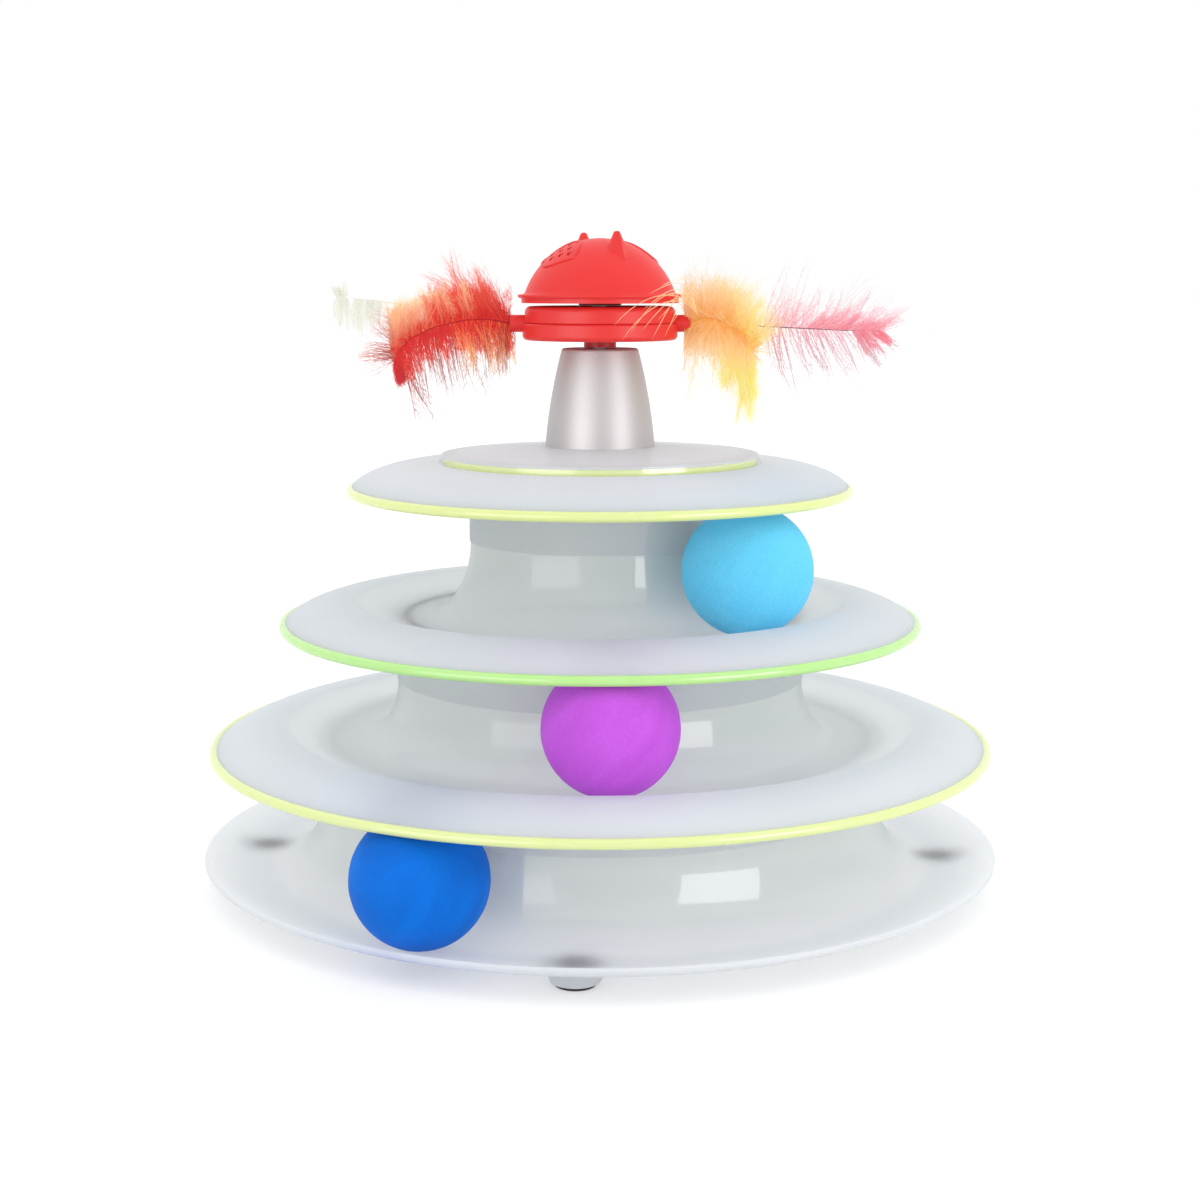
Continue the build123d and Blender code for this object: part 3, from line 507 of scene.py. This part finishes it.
# Feathers: four dyed hen's feathers glued in the sockets, two on each side. Each has a springy
# rachis and hundreds of soft flat barbs that gather in locks, with finer barbules along them, too
# many to shape by hand, so they are grown from tables of tufts.
socket_end = 27.8
socket_z = 174.2
quill_sunk = 4.5
quill_taper = 0.8
barb_radius = 0.13
barb_taper = 0.85
barb_flatness = 0.35
barb_steps = 5
barb_reach = (0.62, 1.1)
barb_bulge = 0.6
barb_tone = (0.9, 1.0)
lock_reach = (0.75, 1.45)
lock_pull = (0.5, 0.98)
barbule_radius = 0.05
barbules_per_barb = 3
barbule_place = (0.03, 0.85)
barbule_spread = (0.3, 0.8)
barbule_reach = (0.4, 1.0)
barbule_bend = 0.2
stray_root = (30, -2, 177)
stray_steps = 12
stray_radius = 0.16
stray_taper = 0.008
head_room = 26.3
head_room_z = 160


def shaft(mesh, line, radii, sides, dyes, flat=1.0):
    """Adds a thin tapered shaft along a line of points, closed to a point at its end."""
    points, faces, colours = mesh
    first, rings = len(points), len(line) - 1
    for ring in range(rings):
        along = (line[ring + 1] - line[max(ring - 1, 0)]).normalized()
        across = along.cross(Vector((0.2, 1, 0.1))).normalized()
        other = along.cross(across) * flat
        for side in range(sides):
            turn = 2 * pi * side / sides
            rim = across * cos(turn) + other * sin(turn)
            points.append((line[ring] + rim * radii[ring]) * mm)
            colours.append(dyes[ring])
    points.append(line[-1] * mm)
    colours.append(dyes[-1])
    tip = first + rings * sides
    for side in range(sides):
        after = (side + 1) % sides
        for ring in range(rings - 1):
            low = first + ring * sides
            faces.append((low + side, low + after, low + sides + after, low + sides + side))
        faces.append((tip - sides + side, tip - sides + after, tip))
    faces.append([first + side for side in reversed(range(sides))])


def clear(spot):
    """A point of a barb, moved out of the room in which dome and carrier turn."""
    if spot.z < head_room_z:
        return spot
    push = max(1, head_room / spot.xy.length)
    return Vector((spot.x * push, spot.y * push, spot.z))


def mixed(first, second, share):
    """A colour between two linear colours."""
    return [one + (two - one) * share for one, two in zip(first, second)]


def grow(name, outward, offset_y, rachis, quill_radius, quill_colour, down, tufts, seed, strays=()):
    """A feather: its quill and rachis through points, the length of its down, its tufts, and barbs
    that stray forward, each given by where it ends and how high it rises."""
    draw = Random(seed)
    mesh = ([], [], [])
    quill = [Vector((outward * (socket_end - quill_sunk), offset_y, socket_z))]
    quill += [Vector((outward * reach, offset_y, height)) for reach, height in rachis]
    lengths = [0.0]
    for before, point in zip(quill[1:], quill[2:]):
        lengths.append(lengths[-1] + (point - before).length)

    def scatter(width):
        """A random offset, the same in all directions."""
        return Vector((draw.gauss(0, width), draw.gauss(0, width), draw.gauss(0, width)))

    def root_at(share):
        """The point at a share of the rachis."""
        target = share * lengths[-1]
        for place in range(1, len(lengths)):
            if target <= lengths[place] or place == len(lengths) - 1:
                part = (target - lengths[place - 1]) / (lengths[place] - lengths[place - 1])
                return quill[place].lerp(quill[place + 1], part)

    dye = colour(quill_colour)
    radii = [quill_radius * (1 - quill_taper * step / len(quill)) for step in range(len(quill))]
    shaft(mesh, quill, radii, 6, [dye] * len(quill))
    steps = [step / barb_steps for step in range(barb_steps + 1)]
    barb_radii = [barb_radius * (1 - barb_taper * step) for step in steps]
    for start, end, side, count, leans, reaches, jitter, spread, lock_count, *codes in tufts:
        root_tone, tip_tone = [colour(code) for code in codes]

        def span(along):
            """A barb's root and its way from there to where it would end."""
            root = root_at(start + (end - start) * along)
            lean = radians(leans[0] + (leans[1] - leans[0]) * along + draw.gauss(0, jitter))
            reach = (reaches[0] + (reaches[1] - reaches[0]) * along) * draw.uniform(*barb_reach)
            way = Vector((outward * sin(lean), draw.gauss(0, spread), side * cos(lean))) * reach
            return root, way

        locks = []
        for lock in range(lock_count):
            root, way = span((lock + draw.random()) / lock_count)
            locks.append(root + way * draw.uniform(*lock_reach))
        for _ in range(count):
            along = draw.random()
            root, way = span(along)
            tip = root + way
            if locks:
                tip = tip.lerp(locks[int(along * lock_count)], draw.uniform(*lock_pull))
            middle = root + way * 0.5 + scatter(barb_bulge)
            line = [clear(root * (1 - step)**2 + middle * 2 * step * (1 - step) + tip * step**2)
                    for step in steps]
            tone = draw.uniform(*barb_tone)
            dyes = [[part * tone for part in mixed(root_tone, tip_tone, step)] for step in steps]
            shaft(mesh, line, barb_radii, 3, dyes, barb_flatness)
            for _ in range(barbules_per_barb):
                share = draw.uniform(*barbule_place) * barb_steps
                whole = int(share)
                base = line[whole].lerp(line[whole + 1], share - whole)
                branch = (line[whole + 1] - line[whole]).normalized()
                sideways = Vector((-branch.z, draw.gauss(0, 0.4), branch.x)) * draw.choice((-1, 1))
                twig = (branch + sideways * draw.uniform(*barbule_spread)).normalized()
                twig = twig * draw.uniform(*barbule_reach) * down
                twig_end = base + twig + scatter(barbule_bend)
                twig_line = [clear(spot) for spot in (base, base + twig * 0.55, twig_end)]
                shaft(mesh, twig_line, [barbule_radius] * 3, 3, [dyes[whole]] * 3)
    stray_tones = [colour(code) for code in tufts[0][-2:]]
    stray_radii = [stray_radius - stray_taper * step for step in range(stray_steps + 1)]
    for end_x, end_z, crest_z in strays:
        guides = [Vector(spot) for spot in (
            stray_root, (25, -20, crest_z), (end_x + 9, -30, crest_z - 1), (end_x, -29, end_z),
        )]
        line = []
        for step in range(stray_steps + 1):
            part = step / stray_steps
            rest = 1 - part
            weights = (rest**3, 3 * part * rest**2, 3 * part**2 * rest, part**3)
            line.append(sum((spot * weight for spot, weight in zip(guides, weights)), Vector()))
        tone = mixed(*stray_tones, draw.random())
        shaft(mesh, line, stray_radii, 4, [tone] * len(line))
    points, faces, colours = mesh
    body = bpy.data.meshes.new(name + "_plume")
    body.from_pydata(points, [], faces)
    dye_map = body.attributes.new("dye", "FLOAT_COLOR", "POINT")
    for place, tone in enumerate(colours):
        dye_map.data[place].color = (*tone[:3], 1)
    plume = bpy.data.objects.new(name + "_plume", body)
    bpy.context.scene.collection.objects.link(plume)
    # Down lets most of the light through, so its barbs hardly darken each other
    plume.visible_shadow = False
    # Dyed barbs: matt, with light coming through, so the feather's edges glow in their own colour
    tree = dressed(plume, "dyed " + name.replace("_", " "))
    dyed = node(tree, "Attribute", attribute_name="dye").outputs["Color"]
    strands = node(tree, "BsdfPrincipled", {
        "Base Color": dyed, "Roughness": 0.6, "Specular IOR Level": 0.2,
    })
    through = node(tree, "BsdfTranslucent", {"Color": dyed})
    soft = node(tree, "MixShader", {0: 0.4, 1: strands.outputs[0], 2: through.outputs[0]})
    node(tree, "OutputMaterial", {"Surface": soft.outputs[0]})
    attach(plume, "feather_carrier")
    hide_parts(name)


# Each tuft: where it starts and ends along the rachis, up or down, how many barbs, their lean
# towards the tip and their length at both ends, how much the lean varies, how far they spread
# sideways, how many locks they gather in, and their dyes at root and tip
grow("feather_red", -1, -0.8, (
    (27.8, 174.2), (34, 175.4), (41, 175.3), (51, 173.2), (58, 170), (62, 166.3), (64, 162.6),
), 0.3, "#B82A30", 3.0, (
    (0.0, 0.6, 1, 540, (26, 14), (13, 12), 15, 0.18, 30, "#EE4644", "#F8785A"),
    (0.25, 0.97, 1, 560, (16, 2), (12, 15), 16, 0.18, 22, "#F27C58", "#FFF9D6"),
    (0.0, 0.35, 1, 150, (32, 18), (22, 21), 10, 0.18, 9, "#EE4E48", "#F8A48E"),
    (0.85, 1.0, 1, 150, (14, 2), (14, 15), 10, 0.16, 8, "#F06A50", "#FFF2C4"),
    (0.7, 1.0, 1, 90, (40, 96), (13, 14), 16, 0.2, 14, "#D4706A", "#EEC8C0"),
    (0.0, 0.95, -1, 560, (-4, -18), (11, 11), 16, 0.18, 40, "#EE4442", "#F66450"),
    (0.0, 0.45, -1, 160, (-4, -16), (15, 15), 13, 0.18, 12, "#F8844A", "#FFE4AC"),
    (0.0, 0.97, -1, 150, (6, -22), (23, 24), 8, 0.16, 18, "#DC5250", "#BC908A"),
    (0.93, 1.0, -1, 180, (-14, -8), (10, 12), 5, 0.1, 3, "#E83E46", "#E0464E"),
    (0.0, 0.98, 1, 200, (10, 10), (4, 4), 30, 0.3, 0, "#E83C3A", "#EE4844"),
    (0.0, 0.98, -1, 200, (-6, -10), (4, 4), 30, 0.3, 0, "#E83C3A", "#EE4844"),
), 11)
grow("feather_cream", -1, 0.8, (
    (27.8, 174.2), (40, 176.5), (55, 179), (70, 181.2), (81.5, 182.3),
), 0.24, "#E6E4D2", 2.0, (
    (0.74, 0.9, -1, 120, (16, 0), (11, 12), 12, 0.12, 8, "#F0F0E8", "#F4F4EE"),
    (0.94, 1.0, -1, 70, (-6, 10), (10, 10), 10, 0.12, 3, "#F0F0E8", "#F4F4EE"),
    (0.95, 1.0, 1, 50, (-10, 20), (5, 4), 12, 0.12, 3, "#F0F0E8", "#F4F4EE"),
), 12)
grow("feather_orange", 1, -0.8, (
    (27.8, 174.2), (31, 175.8), (35, 175.8), (40, 173.8), (44.8, 169.8), (47, 165.5),
), 0.26, "#E0A850", 4.0, (
    (0.0, 0.6, 1, 400, (-8, 22), (15, 14), 26, 0.4, 0, "#FCD89E", "#FFEECF"),
    (0.45, 1.0, 1, 280, (6, 34), (15, 14), 26, 0.4, 0, "#FBF0A4", "#FDF4C8"),
    (0.0, 0.8, -1, 600, (-14, 10), (13, 15), 24, 0.4, 0, "#FBD690", "#FFEDCC"),
    (0.0, 1.0, 1, 200, (-20, 30), (7, 7), 34, 0.5, 0, "#FBD27C", "#FCDE98"),
    (0.0, 0.8, -1, 200, (-20, 20), (7, 7), 34, 0.5, 0, "#F9C868", "#FBD480"),
    (0.5, 1.0, -1, 620, (-2, 2), (22, 20), 9, 0.22, 12, "#FAF296", "#FBF6B6"),
    (0.0, 0.9, -1, 110, (-16, 6), (25, 28), 9, 0.25, 16, "#FFEAC8", "#FFF6E4"),
    (0.0, 1.0, 1, 90, (-24, 44), (20, 20), 16, 0.3, 0, "#FFEAC8", "#FFF6E4"),
), 13, (
    (3.9, 173.9, 186), (6.3, 169.6, 184), (8.7, 171.5, 187), (12.2, 172.4, 185),
    (15.2, 169.8, 188), (16.7, 175.4, 186), (18.8, 170.3, 190), (20.6, 173.9, 188),
    (12.5, 178.5, 187.5), (14.5, 183.5, 189), (17.5, 185.5, 190.5), (20, 182.5, 188.5),
    (21.5, 186.5, 191.5),
))
grow("feather_pink", 1, 0.8, (
    (27.8, 174.2), (40, 174), (52, 173.2), (64, 172.6), (76, 172), (87.8, 172.2),
), 0.24, "#7C505A", 2.6, (
    (0.38, 1.0, 1, 180, (40, 56), (13, 12), 12, 0.14, 26, "#F8C6D0", "#FBE6EA"),
    (0.6, 0.97, 1, 150, (56, 64), (9, 7), 8, 0.1, 8, "#F4A6B4", "#F8C6D0"),
    (0.38, 1.0, -1, 150, (10, 40), (22, 14), 10, 0.14, 22, "#F4C8D2", "#D8C0C4"),
    (0.84, 0.98, -1, 110, (32, 46), (8, 9), 8, 0.1, 5, "#F49EAE", "#F8B4C0"),
    (0.38, 0.9, 1, 50, (10, 40), (20, 18), 11, 0.16, 16, "#F2C4CE", "#EED8DE"),
), 14)

# Catnip dome: a red ABS shell with a swept lip, two ridged ears and two leaf-shaped patches of
# vents, each framed by a fine raised line. Clips over the dome's floor and turns on the spindle.
dome_radius = 24.56
dome_centre_z = 175.64
dome_wall = 1.6
lip_radius = 25.5
lip_z = 183.1
lip_sweep = 1.4
lip_rounding = 0.45
skirt_radius = 24.3
skirt_z = 180.5
skirt_wall = 2.5
ear_circle = 11.6
ear_turn = -64
ear_height = 8.6
ear_tip_z = 202.1
ear_depth = 4.8
ear_width = 4.5
ear_tip = 0.85
ear_rounding = 0.45
ear_ridge = 0.7
ridge_turn = 0.1
vent_radius = 0.85
vent_circle = 13.2
vent_spacing = 3.1
vent_pitch = 3.0
vent_rows = (1, 2, 3, 2, 1)
drill_length = 16
drill_lift = 9
leaf_length = 9.4
leaf_width = 5.6
leaf_line_radius = 0.45
leaf_steps = 24

sweep_z = lip_z + lip_sweep - dome_centre_z
sweep_centre = (sqrt((dome_radius + lip_sweep)**2 - sweep_z**2), lip_z + lip_sweep)
sweep_turn = degrees(atan2(sweep_z, sweep_centre[0]))
chamber = dome_radius - dome_wall
chamber_turn = degrees(acos((skirt_radius - skirt_wall) / chamber))
dome_section = [
    *arc((0, dome_centre_z), (dome_radius,) * 2, 90, sweep_turn, 28),
    *arc(sweep_centre, (lip_sweep,) * 2, 180 + sweep_turn, 270, 6)[1:],
    *arc((lip_radius - lip_rounding, lip_z - lip_rounding), (lip_rounding,) * 2, 90, -60, 5),
    (lip_radius - 0.6, lip_z - 1.2),
    (skirt_radius, lip_z - 1.3),
    (skirt_radius, skirt_z),
    (skirt_radius - skirt_wall, skirt_z),
    *arc((0, dome_centre_z), (chamber,) * 2, chamber_turn, 90, 20),
]
# Both ends of the section lie exactly on the axis
dome_section[0] = (0, dome_section[0][1])
dome_section[-1] = (0, dome_section[-1][1])
dome = turned("dome_moulding", dome_section, 120)
ears = []
for ear_side in (0, 180):
    turn = radians(ear_turn + ear_side)
    bpy.ops.object.select_all(action="DESELECT")
    bpy.ops.mesh.primitive_cone_add(
        vertices=16, radius1=ear_depth * mm, radius2=ear_tip * mm, depth=ear_height * mm)
    ear = bpy.context.object
    bpy.ops.object.mode_set(mode="EDIT")
    bpy.ops.mesh.select_all(action="DESELECT")
    bpy.ops.object.mode_set(mode="OBJECT")
    for edge in ear.data.edges:
        edge.select = all(ear.data.vertices[spot].co.z > 0 for spot in edge.vertices)
    bpy.ops.object.mode_set(mode="EDIT")
    bpy.ops.mesh.select_mode(type="EDGE")
    bpy.ops.mesh.bevel(offset=ear_rounding * mm, segments=3)
    bpy.ops.mesh.select_mode(type="VERT")
    bpy.ops.mesh.select_all(action="DESELECT")
    bpy.ops.object.mode_set(mode="OBJECT")
    for spot in ear.data.vertices:
        spot.select = abs(atan2(spot.co.y, spot.co.x)) < ridge_turn
    bpy.ops.object.mode_set(mode="EDIT")
    bpy.ops.transform.translate(value=(ear_ridge * mm, 0, 0))
    bpy.ops.object.mode_set(mode="OBJECT")
    ear.scale = (1, ear_width / ear_depth, 1)
    ear.rotation_euler = (0, 0, turn)
    ear.location = Vector((ear_circle * cos(turn), ear_circle * sin(turn),
                           ear_tip_z - ear_height / 2)) * mm
    bpy.ops.object.transform_apply(location=True, rotation=True, scale=True)
    ears.append(ear)
fused(dome, ears)
bpy.ops.object.select_all(action="DESELECT")
bpy.ops.mesh.primitive_cylinder_add(
    vertices=14, radius=vent_radius * mm, depth=drill_length * mm,
    location=(0, 0, (lip_z + drill_lift) * mm))
drill = bpy.context.object
bpy.ops.object.transform_apply(location=True, rotation=True, scale=True)
drills = []
leaves = ([], [], [])
for patch_side in (90, 270):
    turn = radians(ear_turn + patch_side)
    outward, sideways = Vector((cos(turn), sin(turn), 0)), Vector((-sin(turn), cos(turn), 0))
    for row, count in enumerate(vent_rows):
        for column in range(count):
            spot = outward * (vent_circle + (column - (count - 1) / 2) * vent_spacing)
            spot += sideways * (row - (len(vent_rows) - 1) / 2) * vent_pitch
            drills.append(placed(drill, degrees(atan2(spot.y, spot.x)), spot.length))
    for edge in (-1, 1):
        line = []
        for step in range(leaf_steps + 1):
            along = 2 * step / leaf_steps - 1
            spot = outward * (vent_circle + edge * leaf_width * (1 - along * along))
            spot += sideways * leaf_length * along
            spot.z = dome_centre_z + sqrt(dome_radius**2 - spot.length_squared)
            line.append(spot)
        shaft(leaves, line, [leaf_line_radius] * len(line), 8, [(1, 1, 1, 1)] * len(line))
fused(dome, drills, "DIFFERENCE")
bpy.data.objects.remove(drill)
leaf_mesh = bpy.data.meshes.new("dome_leaf_lines")
leaf_mesh.from_pydata(leaves[0], [], leaves[1])
leaf_lines = bpy.data.objects.new("dome_leaf_lines", leaf_mesh)
bpy.context.scene.collection.objects.link(leaf_lines)
for dome_piece in (dome, leaf_lines):
    red_abs(dome_piece, "red ABS " + dome_piece.name.replace("_", " "))
    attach(dome_piece, "catnip_dome")
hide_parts("dome_shell")

# Studio: white sweep, two wide soft boxes in front to the left and right, whose sheen is stronger
# than their light, and a white room that is brightest overhead and behind, where the paper is lit.
# The camera stands where the photograph was taken from, a little above the disc.
floor_size = 12
floor_glow = 0.4
front_light = 0.6
back_light = 1.4
bright_side = (0, 0.5, 0.6)
aim = Vector((0, 0, 0.07))
box_elevation = 9.5
box_distance = 1.2
box_height = 25
lens_length = 59.3
sensor_width = 36
camera_place = (0, -0.618, 0.1874)
camera_tilt = 80.81
# Each soft box: its name, its direction and width in degrees, its radiance, and whether it lights
# the toy or shows in its sheen alone
soft_boxes = (
    ("right", 46, 32, 1.8, True), ("right_sheen", 46, 32, 4.6, False),
    ("left", -38.5, 43, 0.5, True), ("left_sheen", -38.5, 43, 5.2, False),
)


def seen_rays(tree):
    """One for rays that show the room itself: camera, glossy and transmission rays."""
    rays = node(tree, "LightPath").outputs
    shown = rays["Is Camera Ray"]
    for kind in ("Is Glossy Ray", "Is Transmission Ray"):
        shown = node(tree, "Math", {0: shown, 1: rays[kind]}, operation="MAXIMUM").outputs[0]
    return shown


bpy.ops.object.select_all(action="DESELECT")
bpy.ops.mesh.primitive_plane_add(size=floor_size)
floor = bpy.context.object
floor.name = "studio_floor"
# White paper: lit from behind, so it burns out to white, with a faint grey where the toy shades it
tree = dressed(floor, "white paper")
white = node(tree, "Emission", {"Color": (1, 1, 1, 1), "Strength": floor_glow})
shadowed = node(tree, "BsdfDiffuse", {"Color": colour("#CCCCCC")})
bright = node(tree, "AddShader", {0: white.outputs[0], 1: shadowed.outputs[0]})
paper = node(tree, "BsdfDiffuse", {"Color": colour("#ECECEC")})
sheet = node(tree, "MixShader", {0: seen_rays(tree), 1: paper.outputs[0], 2: bright.outputs[0]})
node(tree, "OutputMaterial", {"Surface": sheet.outputs[0]})

room = bpy.data.worlds.new("white room")
bpy.context.scene.world = room
room.use_nodes = True
tree = room.node_tree
tree.nodes.clear()
towards = node(tree, "VectorMath", {
    0: node(tree, "TexCoord").outputs["Generated"], 1: bright_side,
}, operation="DOT_PRODUCT").outputs["Value"]
light = node(tree, "MapRange", {
    "Value": towards, "From Min": -0.5, "From Max": 0.5,
    "To Min": front_light, "To Max": back_light,
}).outputs[0]
level = node(tree, "Mix", {0: seen_rays(tree), 2: light, 3: 1.0}).outputs[0]
walls = node(tree, "Background", {"Color": (1, 1, 1, 1), "Strength": level})
node(tree, "OutputWorld", {"Surface": walls.outputs[0]})

for box_name, azimuth, width, radiance, lights in soft_boxes:
    lamp = bpy.data.lights.new("soft_box_" + box_name, "AREA")
    lamp.shape = "RECTANGLE"
    lamp.size = 2 * box_distance * tan(radians(width / 2))
    lamp.size_y = 2 * box_distance * tan(radians(box_height / 2))
    lamp.energy = radiance * pi * lamp.size * lamp.size_y
    stand = bpy.data.objects.new(lamp.name, lamp)
    stand.visible_diffuse = stand.visible_transmission = lights
    bpy.context.scene.collection.objects.link(stand)
    across, side = cos(radians(box_elevation)), radians(azimuth)
    out = Vector((sin(side) * across, -cos(side) * across, sin(radians(box_elevation))))
    stand.location = aim + out * box_distance
    stand.rotation_euler = (-out).to_track_quat("-Z", "Y").to_euler()

lens = bpy.data.cameras.new("camera")
lens.lens = lens_length
lens.sensor_width = sensor_width
camera = bpy.data.objects.new("camera", lens)
camera.location = camera_place
camera.rotation_euler = (radians(camera_tilt), 0, 0)
bpy.context.scene.collection.objects.link(camera)
bpy.context.scene.camera = camera
bpy.context.scene.view_settings.view_transform = "Standard"
